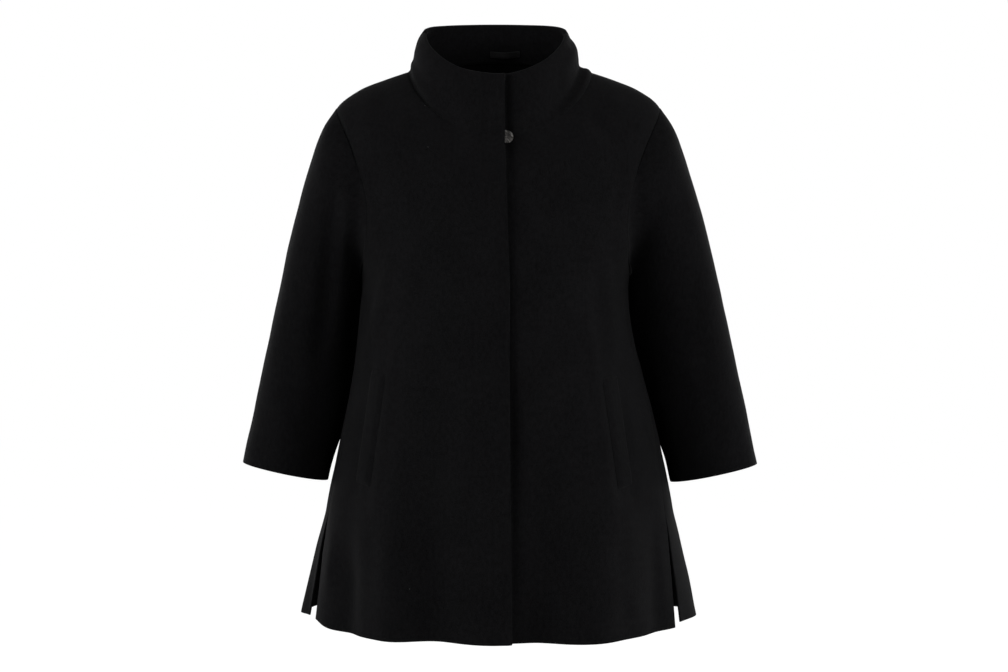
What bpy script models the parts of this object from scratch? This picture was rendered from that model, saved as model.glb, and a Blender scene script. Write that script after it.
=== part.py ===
"""A swing overcoat in black brushed wool, filled out as it is worn, with nothing inside it.

Metres, +Z up, the coat faces -Y and +X is the wearer's left. The origin lies between the two
side neck points, where the coat rests on its wearer. Every piece of cloth is a closed wall. Angles
go round the body in degrees, 0 at centre front, 90 at the wearer's left side and 180 at centre back.
"""

from collections import namedtuple

import bmesh
import bpy
import numpy as np
from mathutils import Matrix, Vector

# Cloth sizes
WALL = 0.0025
COLLAR_WALL = 0.0060
WELT_WALL = 0.0030
LOOP_WALL = 0.0015
SEAM = 0.0003
COLLAR_SEAM = 0.00036
LYING_GAP = 0.0005

# How finely the cloth is divided
FRONT_COLUMNS = 22
BACK_COLUMNS = 28
SHOULDER_ROWS = 4
ARMHOLE_ROWS = 12
SKIRT_ROWS = 7
SLIT_ROWS = 4
SLEEVE_ROWS = 14
COLLAR_ROWS = 4
WELT_CELLS = (3, 18)
LOOP_CELLS = (1, 10)

# The body of the coat, ring by ring from the neck seam to the hem. The chest width rounds a ring off
# between its sides and its middle, and the bends say how it runs from its side height to its height
# at centre front and centre back.
Ring = namedtuple("Ring", "name centre_x side_x chest_x side_z "
                          "front_y front_z front_bend back_y back_z back_bend")
TORSO = (
    Ring("neck", 0.0, 0.1250, 0.1250, 0.003, -0.1040, -0.0950, 1.3, 0.072, 0.0290, 2.0),
    Ring("shoulder_inner", 0.0, 0.1580, 0.1420, -0.008, -0.1105, -0.1110, 1.4, 0.090, 0.0150, 2.0),
    Ring("shoulder_outer", 0.0, 0.1900, 0.1580, -0.022, -0.1175, -0.1285, 1.5, 0.103, -0.0030, 2.0),
    Ring("shoulder_tip", 0.0, 0.2205, 0.1720, -0.047, -0.1255, -0.1500, 1.7, 0.114, -0.0270, 2.0),
    Ring("armhole_high", 0.0, 0.2250, 0.1950, -0.090, -0.1335, -0.1750, 1.9, 0.122, -0.0580, 2.0),
    Ring("armhole_middle", -0.0005, 0.2130, 0.2050, -0.165, -0.1455, -0.2245, 2.0, 0.129, -0.1240, 2.0),
    Ring("armhole_low", -0.0022, 0.1935, 0.2030, -0.235, -0.1525, -0.2775, 2.0, 0.131, -0.1930, 2.0),
    Ring("armpit", -0.0035, 0.1820, 0.1940, -0.270, -0.1550, -0.3055, 2.0, 0.131, -0.2295, 2.0),
    Ring("waist", -0.0048, 0.1840, 0.1880, -0.330, -0.1580, -0.3525, 2.0, 0.134, -0.2910, 2.0),
    Ring("hip", -0.0005, 0.1985, 0.1985, -0.415, -0.1630, -0.4250, 2.0, 0.143, -0.3805, 2.0),
    Ring("thigh", 0.0018, 0.2172, 0.2172, -0.500, -0.1700, -0.5040, 2.0, 0.157, -0.4730, 2.0),
    Ring("slit_top", 0.0014, 0.2357, 0.2357, -0.593, -0.1780, -0.5945, 2.0, 0.173, -0.5755, 2.0),
    Ring("skirt", 0.0007, 0.2450, 0.2450, -0.670, -0.1820, -0.6710, 2.0, 0.184, -0.6620, 2.0),
    Ring("hem", 0.0, 0.2515, 0.2515, -0.7435, -0.1840, -0.7460, 2.0, 0.194, -0.7430, 2.0),
)

# The collar, from the neck seam to its rim, leaning a little to the wearer's right
COLLAR = (
    Ring("base", 0.0000, 0.1250, 0.1250, 0.003, -0.1040, -0.0950, 1.3, 0.072, 0.0290, 2.0),
    Ring("low", -0.0025, 0.1145, 0.1145, 0.014, -0.1015, -0.0740, 1.4, 0.068, 0.0410, 1.5),
    Ring("middle", -0.0038, 0.1100, 0.1100, 0.032, -0.0965, -0.0470, 1.5, 0.064, 0.0580, 1.0),
    Ring("roll", -0.0043, 0.1048, 0.1048, 0.046, -0.0935, -0.0280, 1.35, 0.062, 0.0690, 0.8),
    Ring("rim", -0.0045, 0.0965, 0.0965, 0.057, -0.0890, -0.0110, 1.25, 0.060, 0.0780, 0.6),
)

# The armholes bite this far round the body from the side, in degrees
FRONT_BITE = 35.0
BACK_BITE = 31.0
# How sharply a sleeve turns out of the body under the arm, and how soon round the armhole
ARMPIT_FOLD = 175.0
FOLD_POWER = 1.7

# Each sleeve, oval by oval below its armhole seam, from its outer to its inner side, with distances
# from the middle of the coat. The inner side hangs a little behind the body's side.
Oval = namedtuple("Oval", "outer_x outer_y outer_z inner_x inner_y inner_z half_depth")
LEFT_SLEEVE = (
    Oval(0.2405, -0.008, -0.083, 0.1792, 0.026, -0.290, 0.0790),
    Oval(0.2655, -0.010, -0.157, 0.1764, 0.046, -0.320, 0.0780),
    Oval(0.2872, -0.009, -0.239, 0.1794, 0.055, -0.357, 0.0740),
    Oval(0.3062, -0.006, -0.321, 0.1915, 0.053, -0.408, 0.0690),
    Oval(0.3240, -0.003, -0.402, 0.2080, 0.041, -0.463, 0.0640),
    Oval(0.3420, 0.000, -0.484, 0.2262, 0.026, -0.516, 0.0595),
    Oval(0.3515, 0.002, -0.527, 0.2360, 0.020, -0.553, 0.0570),
)
RIGHT_SLEEVE = (
    Oval(0.2405, -0.008, -0.083, 0.1884, 0.015, -0.290, 0.0790),
    Oval(0.2645, -0.010, -0.157, 0.1870, 0.035, -0.320, 0.0780),
    Oval(0.2850, -0.009, -0.239, 0.1888, 0.046, -0.357, 0.0740),
    Oval(0.3026, -0.006, -0.321, 0.1948, 0.046, -0.408, 0.0690),
    Oval(0.3200, -0.003, -0.402, 0.2075, 0.036, -0.463, 0.0640),
    Oval(0.3380, 0.000, -0.484, 0.2245, 0.026, -0.516, 0.0595),
    Oval(0.3475, 0.002, -0.527, 0.2335, 0.020, -0.553, 0.0570),
)

# The side seams swing forward below the armholes, so the slits open a little in front of the sides: how
# far each seam has swung at the top of its slit, how far the back's edge lags behind at the hem and how
# far its corner is lifted. The back stands out beside its slits, by a smaller share at its edges.
Slit = namedtuple("Slit", "swing lag lift")
SLITS = {"right": Slit(13.5, 6.0, 0.012), "left": Slit(20.5, 1.5, 0.009)}
LAG_POWER = 0.6
SLIT_FLARE = 0.018
EDGE_FLARE = 0.33

# Folds of the skirt: the angle at the fold's top and at the hem, where it starts, how far it stands
# out (ridge) or in (trough) at the hem, and how wide it is
Fold = namedtuple("Fold", "top_angle hem_angle top_z rise width")
FOLDS = (
    Fold(-42.0, -31.5, -0.300, 0.012, 8.0),
    Fold(-24.0, -20.0, -0.420, -0.019, 8.5),
    Fold(0.0, 1.0, -0.500, 0.006, 7.0),
    Fold(14.0, 10.5, -0.420, -0.016, 7.5),
    Fold(38.0, 28.0, -0.280, 0.020, 11.0),
    Fold(-58.0, -55.0, -0.480, -0.013, 9.0),
    Fold(62.0, 58.0, -0.500, -0.009, 8.0),
    Fold(118.0, 112.0, -0.420, 0.010, 9.0),
    Fold(136.0, 133.0, -0.400, -0.014, 9.0),
    Fold(158.0, 154.0, -0.360, 0.013, 10.0),
    Fold(180.0, 178.0, -0.420, -0.010, 9.0),
    Fold(200.0, 203.0, -0.340, 0.012, 9.0),
    Fold(221.0, 223.0, -0.420, -0.013, 9.0),
    Fold(240.0, 245.0, -0.440, 0.011, 8.0),
)

# The lap of the right front over the left: its edge and how far it is raised, at each height
Lap = namedtuple("Lap", "z edge_x rise")
LAP = (
    Lap(-0.746, 0.0169, 0.0020),
    Lap(-0.500, 0.0152, 0.0020),
    Lap(-0.300, 0.0138, 0.0021),
    Lap(-0.200, 0.0131, 0.0025),
    Lap(-0.130, 0.0120, 0.0052),
    Lap(-0.098, 0.0088, 0.0090),
    Lap(-0.062, 0.0078, 0.0068),
    Lap(0.000, 0.0075, 0.0060),
)
LAP_BLEND_FROM = -0.062
LAP_BLEND_WIDTH = 0.040
UNDER_EDGE_X = -0.035
UNDER_SINK = 0.0026
UNDER_BLEND_FROM = 0.004
UNDER_BLEND_WIDTH = 0.044

# The pocket welts, by the middle of their upper and lower ends seen from the front
Welt = namedtuple("Welt", "name panel top_x top_z bottom_x bottom_z")
WELTS = (
    Welt("pocket_welt_right", "front_right", -0.1555, -0.401, -0.1760, -0.5505),
    Welt("pocket_welt_left", "front_left", 0.1440, -0.408, 0.1640, -0.5520),
)
WELT_WIDTH = 0.022
WELT_END_SLOPE = 0.12

# The button, and the strip that the coat hangs by
BUTTON_X = 0.0108
BUTTON_Z = -0.0973
BUTTON_TILT = 17.0
BUTTON_RADIUS = 0.0086
BUTTON_THICKNESS = 0.0026
BUTTON_RIM = 0.0014
BUTTON_DISH = 0.00056
BUTTON_SIDES = 24
LOOP_CENTRE_X = 0.009
LOOP_LENGTH = 0.041
LOOP_HEIGHT = 0.008
LOOP_LOW_ROW = 0.55
LOOP_BOW = 0.0125

# Colour and roughness of each stuff
Stuff = namedtuple("Stuff", "name colour roughness")
WOOL = Stuff("black_wool", (0.0060, 0.0060, 0.0064, 1.0), 0.92)
HORN = Stuff("dark_horn", (0.0200, 0.0190, 0.0185, 1.0), 0.35)
TAPE = Stuff("black_tape", (0.0120, 0.0120, 0.0125, 1.0), 0.70)

# Small steps for slopes of the surfaces, and for finding a spot on a panel
ANGLE_STEP = 0.5
LENGTH_STEP = 0.001
CELL_STEP = 0.01
SPOT_ROUNDS = 12
# The cloth under the button: rows and columns from its upper corner, spots looked at along each, and
# how far past the button's edge
SEAT_ROWS = 3.0
SEAT_COLUMNS = 9.0
SEAT_SPOTS = (40, 60)
SEAT_REACH = 1.05
# Vertices closer than this become one, and edges sharper than this stay crisp
WELD = 1e-6
CRISP_ANGLE = 50.0


def smooth_curve(stations, values, where):
    """Cubic through a table's values, with the mean of the neighbouring slopes at each row."""
    slopes = np.gradient(values, stations, axis=0)
    left = np.clip(np.searchsorted(stations, where, side="right") - 1, 0, len(stations) - 2)
    span = stations[left + 1] - stations[left]
    step = (where - stations[left]) / span
    rise = values[left + 1] - values[left]
    start = span * slopes[left]
    end = span * slopes[left + 1]
    square = 3 * rise - 2 * start - end
    cubic = start + end - 2 * rise
    return values[left] + step * (start + step * (square + step * cubic))


def ease(amount):
    """0 below 0, 1 above 1, and a soft S between."""
    amount = np.clip(amount, 0.0, 1.0)
    return amount * amount * (3 - 2 * amount)


def unit(vectors):
    return vectors / np.linalg.norm(vectors, axis=-1, keepdims=True)


class Form:
    """A smooth surface through a table of rings. A station is a length down its side line."""

    def __init__(self, rings, folds=()):
        self.columns = {}
        for name in Ring._fields[1:]:
            self.columns[name] = np.array([getattr(ring, name) for ring in rings])
        side_line = np.column_stack((self.columns["side_x"], self.columns["side_z"]))
        lengths = np.linalg.norm(np.diff(side_line, axis=0), axis=1)
        self.stations = np.concatenate(([0.0], np.cumsum(lengths)))
        self.named = {ring.name: station for ring, station in zip(rings, self.stations)}
        self.folds = folds

    def column(self, name, station):
        return smooth_curve(self.stations, self.columns[name], station)

    def point(self, angle, station, half, flared=False):
        """A point of the outer cloth, on the front or the back half. The back panel is flared."""
        angle, station = np.broadcast_arrays(np.asarray(angle, float), np.asarray(station, float))
        sine = np.sin(np.radians(angle))
        cosine = np.cos(np.radians(angle))
        side_x = self.column("side_x", station)
        side_z = self.column("side_z", station)
        if half == "front":
            depth = self.column("front_y", station)
            centre_z = self.column("front_z", station)
            bend = self.column("front_bend", station)
        else:
            depth = -self.column("back_y", station)
            centre_z = self.column("back_z", station)
            bend = self.column("back_bend", station)
        if flared:
            slit = self.down_the_slit(station)
            forward = np.degrees(np.arcsin(np.clip(cosine, 0.0, 1.0)))
            left, right = SLITS["left"], SLITS["right"]
            to_edge = np.where(sine > 0.0, left.swing - left.lag, right.swing - right.lag)
            side_x = side_x + SLIT_FLARE * slit * (1 - (1 - EDGE_FLARE) * ease(forward / to_edge))
            side_z = side_z + slit * np.where(sine > 0.0, left.lift, right.lift)
        z = side_z + (centre_z - side_z) * np.abs(cosine) ** bend
        out = unit(np.stack((sine * np.abs(depth), -cosine * side_x, np.zeros_like(z)), axis=-1))
        width = side_x * sine ** 2 + self.column("chest_x", station) * cosine ** 2
        spot = np.stack((self.column("centre_x", station) + width * sine, depth * cosine, z), axis=-1)
        return spot + out * self.fold_rise(angle, z)[..., None]

    def down_the_slit(self, station):
        slit_top = self.named["slit_top"]
        return np.clip((station - slit_top) / (self.named["hem"] - slit_top), 0.0, 1.0)

    def fold_rise(self, angle, z):
        rise = np.zeros_like(z)
        hem_z = self.columns["side_z"][-1]
        for fold in self.folds:
            down = (z - fold.top_z) / (hem_z - fold.top_z)
            middle = fold.top_angle + (fold.hem_angle - fold.top_angle) * np.clip(down, 0.0, 1.0)
            away = (angle - middle + 180.0) % 360.0 - 180.0
            rise = rise + fold.rise * ease(down) * np.exp(-(away / fold.width) ** 2)
        return rise

    def normal(self, angle, station, half, flared=False):
        """Unit vectors that point out of the cloth."""
        round_body = (self.point(angle + ANGLE_STEP, station, half, flared)
                      - self.point(angle - ANGLE_STEP, station, half, flared))
        down_body = (self.point(angle, station + LENGTH_STEP, half, flared)
                     - self.point(angle, station - LENGTH_STEP, half, flared))
        return unit(np.cross(down_body, round_body))

    def level_out(self, angle, station, half):
        """Unit vectors that point out of the cloth, kept level."""
        out = self.normal(angle, station, half)
        out[..., 2] = 0.0
        return unit(out)


TORSO_FORM = Form(TORSO, FOLDS)
COLLAR_FORM = Form(COLLAR)


def row_stations():
    """Rows from neck to hem. Those along the armhole are spaced as equal angles round it."""
    named = TORSO_FORM.named
    shoulder = np.linspace(named["neck"], named["shoulder_tip"], SHOULDER_ROWS + 1)
    turn = np.radians(np.linspace(0.0, 180.0, ARMHOLE_ROWS + 1))
    armhole = named["shoulder_tip"] + (named["armpit"] - named["shoulder_tip"]) * (1 - np.cos(turn)) / 2
    skirt = np.linspace(named["armpit"], named["slit_top"], SKIRT_ROWS + 1)
    slit = np.linspace(named["slit_top"], named["hem"], SLIT_ROWS + 1)
    return np.concatenate((shoulder[:-1], armhole[:-1], skirt[:-1], slit))


ROWS = row_stations()


def side_angle(panel, side):
    """Where a panel ends at one side, in degrees from the front: seam, armhole, seam, slit."""
    named = TORSO_FORM.named
    across = 1 - 2 * (ROWS - named["shoulder_tip"]) / (named["armpit"] - named["shoulder_tip"])
    bite = np.sqrt(np.clip(1 - across ** 2, 0.0, 1.0))
    slit = SLITS[side]
    swing = slit.swing * ease((ROWS - named["armpit"]) / (named["slit_top"] - named["armpit"]))
    if panel == "back":
        seam = np.degrees(SEAM / 2 / TORSO_FORM.column("back_y", ROWS))
        lag = slit.lag * TORSO_FORM.down_the_slit(ROWS) ** LAG_POWER
        return 90.0 - swing + seam + BACK_BITE * bite + lag
    seam = np.degrees(SEAM / 2 / -TORSO_FORM.column("front_y", ROWS))
    return 90.0 - swing - seam - FRONT_BITE * bite


def lap_column(name, z):
    heights = np.array([row.z for row in LAP])
    return smooth_curve(heights, np.array([getattr(row, name) for row in LAP]), z)


def lap_rise(x, z):
    """How far the lapping side is raised."""
    return lap_column("rise", z) * ease((x - LAP_BLEND_FROM) / LAP_BLEND_WIDTH)


def under_sink(x):
    """How far the side under the lap lies back."""
    return UNDER_SINK * (1 - ease((x - UNDER_BLEND_FROM) / UNDER_BLEND_WIDTH))


def edge_angle(edge_x):
    aside = edge_x - TORSO_FORM.column("centre_x", ROWS)
    return np.degrees(np.arcsin(aside / TORSO_FORM.column("side_x", ROWS)))


def spread(first, last, columns):
    """Angles of a panel, evenly from edge to edge in each row."""
    share = np.linspace(0.0, 1.0, columns + 1)
    return first[:, None] + (last - first)[:, None] * share[None, :]


def front_grid(name):
    """Angles, outer points and outward normals of a front."""
    stations = ROWS[:, None]
    if name == "front_left":
        angles = spread(edge_angle(UNDER_EDGE_X), side_angle("front", "left"), FRONT_COLUMNS)
    else:
        edge_x = lap_column("edge_x", TORSO_FORM.column("front_z", ROWS))
        angles = spread(-side_angle("front", "right"), edge_angle(edge_x), FRONT_COLUMNS)
    points = TORSO_FORM.point(angles, stations, "front")
    if name == "front_left":
        lift = -under_sink(points[..., 0])
    else:
        lift = lap_rise(points[..., 0], points[..., 2])
    points = points + lift[..., None] * TORSO_FORM.level_out(angles, stations, "front")
    return angles, points, TORSO_FORM.normal(angles, stations, "front")


def back_grid():
    """Angles, outer points and outward normals of the back."""
    angles = spread(side_angle("back", "left"), 360.0 - side_angle("back", "right"), BACK_COLUMNS)
    stations = ROWS[:, None]
    behind = (np.cos(np.radians(angles)) < 0.0)[..., None]
    points = np.where(behind, TORSO_FORM.point(angles, stations, "back", flared=True),
                      TORSO_FORM.point(angles, stations, "front", flared=True))
    normals = np.where(behind, TORSO_FORM.normal(angles, stations, "back", flared=True),
                       TORSO_FORM.normal(angles, stations, "front", flared=True))
    return angles, points, normals


def sleeve_grid(ovals, side):
    """Outer points and outward normals of a sleeve, from the armhole seam to the cuff.

    Side is 1 for the wearer's left and -1 for the right.
    """
    first = SHOULDER_ROWS
    last = SHOULDER_ROWS + ARMHOLE_ROWS
    front = np.column_stack((side_angle("front", "left"), ROWS))[first:last + 1]
    back = np.column_stack((side_angle("back", "left"), ROWS))[first + 1:last][::-1]
    front[0, 0] = 90.0
    front[-1, 0] = 90.0
    front[:, 0] = front[:, 0] * side
    back[:, 0] = back[:, 0] * side
    seam = np.concatenate((TORSO_FORM.point(front[:, 0], front[:, 1], "front"),
                           TORSO_FORM.point(back[:, 0], back[:, 1], "back")))
    out = np.concatenate((TORSO_FORM.normal(front[:, 0], front[:, 1], "front"),
                          TORSO_FORM.normal(back[:, 0], back[:, 1], "back")))
    along = unit(np.roll(seam, -1, axis=0) - np.roll(seam, 1, axis=0))
    inward = unit(np.cross(out, along))
    to_middle = seam.mean(axis=0) - seam
    inward = inward * np.sign(np.sum(inward * to_middle, axis=1))[:, None]

    turn = np.linspace(0.0, 2 * np.pi, len(seam), endpoint=False)[:, None]
    fold = np.radians(ARMPIT_FOLD) * ((1 - np.cos(turn)) / 2) ** FOLD_POWER
    start = seam + SEAM * (np.cos(fold / 2) * inward + np.sin(fold / 2) * out)
    start_normal = np.cos(fold) * out - np.sin(fold) * inward

    level = np.array((0.0, 1.0, 0.0))
    rings = [start]
    for oval in ovals:
        outer = np.array((oval.outer_x * side, oval.outer_y, oval.outer_z))
        inner = np.array((oval.inner_x * side, oval.inner_y, oval.inner_z))
        across = np.cos(turn) * (outer - inner) / 2
        rings.append((outer + inner) / 2 + across - np.sin(turn) * oval.half_depth * level)
    numbers = np.arange(len(rings), dtype=float)
    where = np.linspace(0.0, numbers[-1], SLEEVE_ROWS + 1)
    points = np.array([smooth_curve(numbers, np.array(rings), spot) for spot in where])

    down = np.gradient(points, axis=0)
    around = np.roll(points, -1, axis=1) - np.roll(points, 1, axis=1)
    normals = unit(np.cross(down, around))
    outward = points - points.mean(axis=1, keepdims=True)
    normals = normals * np.sign(np.sum(normals * outward, axis=-1))[..., None]
    normals[0] = start_normal
    return points, normals


def collar_grid(front_left_angles, back_angles, front_right_angles):
    """Outer points and outward normals of the collar, from its under end round to its lapping end.

    Its columns stand on the columns of the panels below.
    """
    right = front_right_angles[0] + 360.0
    angles = np.concatenate((front_left_angles[0][:-1], [90.0], back_angles[0][1:-1], [270.0], right[1:]))
    left_share = FRONT_COLUMNS
    back_share = FRONT_COLUMNS + BACK_COLUMNS
    stations = np.linspace(0.0, COLLAR_FORM.named["rim"], COLLAR_ROWS + 1)[:, None]
    fronts = COLLAR_FORM.point(angles[None, :], stations, "front")
    backs = COLLAR_FORM.point(angles[None, :], stations, "back")
    front_out = COLLAR_FORM.normal(angles[None, :], stations, "front")
    back_out = COLLAR_FORM.normal(angles[None, :], stations, "back")
    number = np.arange(len(angles))
    behind = ((number > left_share) & (number < back_share))[None, :, None]
    points = np.where(behind, backs, fronts)
    out = -np.where(behind, back_out, front_out)
    lift = np.zeros(points.shape[:2])
    under = number < left_share
    over = number > back_share
    lift[:, under] = -under_sink(points[:, under, 0])
    lift[:, over] = lap_rise(points[:, over, 0], points[:, over, 2])
    neck_out = TORSO_FORM.level_out(angles, np.zeros_like(angles), "front")
    points = points + lift[..., None] * neck_out[None, :, :]
    upward = unit(points[1] - points[0])
    points[0] = points[0] + COLLAR_SEAM * upward
    return points, out


def sample(grid, row, column):
    """A point between the grid's own points."""
    low_row = int(np.clip(np.floor(row), 0, grid.shape[0] - 2))
    low_column = int(np.clip(np.floor(column), 0, grid.shape[1] - 2))
    down = row - low_row
    across = column - low_column
    upper = grid[low_row, low_column] * (1 - across) + grid[low_row, low_column + 1] * across
    lower = grid[low_row + 1, low_column] * (1 - across) + grid[low_row + 1, low_column + 1] * across
    return upper * (1 - down) + lower * down


def spot_on_panel(points, x, z):
    """Row and column, with fractions, of the spot of a panel that is seen at x, z from the front."""
    target = np.array((x, z))
    seen = points[..., (0, 2)]
    nearest = np.argmin(np.linalg.norm(seen - target, axis=-1))
    spot = np.array(np.unravel_index(nearest, seen.shape[:2]), float)
    for _ in range(SPOT_ROUNDS):
        here = sample(seen, *spot)
        by_row = (sample(seen, spot[0] + CELL_STEP, spot[1]) - here) / CELL_STEP
        by_column = (sample(seen, spot[0], spot[1] + CELL_STEP) - here) / CELL_STEP
        spot = spot + np.linalg.solve(np.column_stack((by_row, by_column)), target - here)
    return spot


def welt_grid(welt, points, normals):
    """Points just off a front, and their normals, for a slanted welt."""
    top = np.array((welt.top_x, welt.top_z))
    bottom = np.array((welt.bottom_x, welt.bottom_z))
    along = unit(bottom - top)
    across = np.array((-along[1], along[0]))
    to_centre = -np.sign(welt.top_x)
    base = np.zeros((WELT_CELLS[1] + 1, WELT_CELLS[0] + 1, 3))
    out = np.zeros_like(base)
    for row, length_share in enumerate(np.linspace(0.0, 1.0, WELT_CELLS[1] + 1)):
        for column, width_share in enumerate(np.linspace(-0.5, 0.5, WELT_CELLS[0] + 1)):
            slope = WELT_END_SLOPE * WELT_WIDTH * width_share * to_centre
            middle = top + (bottom - top) * length_share + along * slope
            x, z = middle + across * WELT_WIDTH * width_share
            spot = spot_on_panel(points, x, z)
            out[row, column] = unit(sample(normals, *spot))
            base[row, column] = sample(points, *spot) + LYING_GAP * out[row, column]
    return base + WELT_WALL * out, out


def loop_grid(points, normals):
    """A strip on the inside of the collar at centre back, bowed out between its sewn ends."""
    inside = points - COLLAR_WALL * normals
    first = FRONT_COLUMNS
    last = FRONT_COLUMNS + BACK_COLUMNS
    back_x = inside[0, first:last + 1, 0][::-1]
    middle = (first + last) // 2
    row_height = np.linalg.norm(inside[1, middle] - inside[0, middle])
    grid = np.zeros((LOOP_CELLS[0] + 1, LOOP_CELLS[1] + 1, 3))
    out = np.zeros_like(grid)
    for column, share in enumerate(np.linspace(-0.5, 0.5, LOOP_CELLS[1] + 1)):
        x = LOOP_CENTRE_X + share * LOOP_LENGTH
        number = last - np.interp(x, back_x, np.arange(len(back_x)))
        bow = LOOP_BOW * ease(1 - 2 * abs(share))
        for row in range(LOOP_CELLS[0] + 1):
            height = LOOP_LOW_ROW + row * LOOP_HEIGHT / row_height
            out[row, column] = -unit(sample(normals, height, number))
            stand_off = LYING_GAP + LOOP_WALL + bow
            grid[row, column] = sample(inside, height, number) + stand_off * out[row, column]
    return grid, out


def finish(name, mesh, stuff, collection):
    """Put a closed mesh in the scene as a named, smooth piece with its own material."""
    material = bpy.data.materials.new(f"{name}_{stuff.name}")
    material.use_nodes = True
    shader = material.node_tree.nodes["Principled BSDF"]
    shader.inputs["Base Color"].default_value = stuff.colour
    shader.inputs["Roughness"].default_value = stuff.roughness
    shader.inputs["Metallic"].default_value = 0.0
    material.diffuse_color = stuff.colour
    mesh.materials.append(material)
    mesh.shade_smooth()
    mesh.set_sharp_from_angle(angle=np.radians(CRISP_ANGLE))
    piece = bpy.data.objects.new(name, mesh)
    collection.objects.link(piece)
    return piece


def cloth_wall(name, outer, normals, thickness, stuff, collection, closed=False):
    """A grid bent to the outer points, extruded to the inner ones and so closed all round."""
    rows, columns = outer.shape[:2]
    inner = outer - thickness * normals
    if closed:
        outer = np.concatenate((outer, outer[:, :1]), axis=1)
        inner = np.concatenate((inner, inner[:, :1]), axis=1)
        columns += 1
    outer = outer.reshape(-1, 3)
    inner = inner.reshape(-1, 3)
    cloth = bmesh.new()
    bmesh.ops.create_grid(cloth, x_segments=columns - 1, y_segments=rows - 1, size=0.5)
    cell = cloth.verts.layers.int.new("cell")
    for vertex in cloth.verts:
        column = round((vertex.co.x + 0.5) * (columns - 1))
        row = round((vertex.co.y + 0.5) * (rows - 1))
        vertex[cell] = row * columns + column
        vertex.co = outer[row * columns + column]
    if closed:
        bmesh.ops.remove_doubles(cloth, verts=cloth.verts[:], dist=WELD)
    made = bmesh.ops.extrude_face_region(cloth, geom=cloth.faces[:], use_keep_orig=True)
    for vertex in made["geom"]:
        if isinstance(vertex, bmesh.types.BMVert):
            vertex.co = inner[vertex[cell]]
    bmesh.ops.recalc_face_normals(cloth, faces=cloth.faces[:])
    mesh = bpy.data.meshes.new(name)
    cloth.to_mesh(mesh)
    cloth.free()
    return finish(name, mesh, stuff, collection)


def add_button(under_points, collar_points, collection):
    """A disc with a raised rim, seated on the under front and the foot of the collar."""
    tilt = np.radians(BUTTON_TILT)
    axis = np.array((0.0, -np.cos(tilt), np.sin(tilt)))
    number = np.argmin(np.abs(under_points[0, :, 0] - BUTTON_X))
    seam = under_points[0, number]
    centre = np.array((BUTTON_X, seam[1], BUTTON_Z))
    nearby = []
    for points in (under_points, collar_points):
        for row in np.linspace(0.0, SEAT_ROWS, SEAT_SPOTS[0]):
            for column in np.linspace(0.0, SEAT_COLUMNS, SEAT_SPOTS[1]):
                nearby.append(sample(points, row, column))
    nearby = np.array(nearby) - centre
    height = nearby @ axis
    aside = np.linalg.norm(nearby - height[:, None] * axis, axis=1)
    seat = height[aside < BUTTON_RADIUS * SEAT_REACH].max() + SEAM
    disc = bmesh.new()
    bmesh.ops.create_cone(disc, cap_ends=True, segments=BUTTON_SIDES, radius1=BUTTON_RADIUS,
                          radius2=BUTTON_RADIUS, depth=BUTTON_THICKNESS)
    bmesh.ops.translate(disc, verts=disc.verts[:], vec=(0.0, 0.0, BUTTON_THICKNESS / 2))
    face = max(disc.faces, key=lambda side: side.calc_center_median().z)
    bmesh.ops.inset_region(disc, faces=[face], thickness=BUTTON_RIM, depth=-BUTTON_DISH)
    turn = Vector((0.0, 0.0, 1.0)).rotation_difference(Vector(axis)).to_matrix().to_4x4()
    place = Matrix.Translation(Vector(centre + axis * seat)) @ turn
    bmesh.ops.transform(disc, matrix=place, verts=disc.verts[:])
    bmesh.ops.recalc_face_normals(disc, faces=disc.faces[:])
    mesh = bpy.data.meshes.new("button")
    disc.to_mesh(mesh)
    disc.free()
    return finish("button", mesh, HORN, collection)


def build_overcoat():
    for leftover in list(bpy.data.objects):
        bpy.data.objects.remove(leftover, do_unlink=True)
    coat = bpy.data.collections.new("overcoat")
    bpy.context.scene.collection.children.link(coat)

    panels = {name: front_grid(name) for name in ("front_right", "front_left")}
    panels["back"] = back_grid()
    for name, (_, points, normals) in panels.items():
        cloth_wall(name, points, normals, WALL, WOOL, coat)

    for name, ovals, side in (("sleeve_left", LEFT_SLEEVE, 1), ("sleeve_right", RIGHT_SLEEVE, -1)):
        cloth_wall(name, *sleeve_grid(ovals, side), WALL, WOOL, coat, closed=True)

    panel_angles = [panels[name][0] for name in ("front_left", "back", "front_right")]
    collar_points, collar_normals = collar_grid(*panel_angles)
    cloth_wall("collar", collar_points, collar_normals, COLLAR_WALL, WOOL, coat)

    for welt in WELTS:
        _, points, normals = panels[welt.panel]
        cloth_wall(welt.name, *welt_grid(welt, points, normals), WELT_WALL, WOOL, coat)

    add_button(panels["front_left"][1], collar_points, coat)
    cloth_wall("hanger_loop", *loop_grid(collar_points, collar_normals), LOOP_WALL, TAPE, coat)


build_overcoat()
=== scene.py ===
# %% [markdown]
# # A black wool swing coat
# This lesson dresses a CAD coat in real cloth. The coat is filled out as if somebody wore it, but
# nobody is inside. The CAD part gives the true size, so it is loaded first and its box is measured.
# Each visible piece below is built on the same form and takes the place of one CAD piece.

from collections import namedtuple

import bpy
import numpy as np
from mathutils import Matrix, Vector, noise


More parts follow.
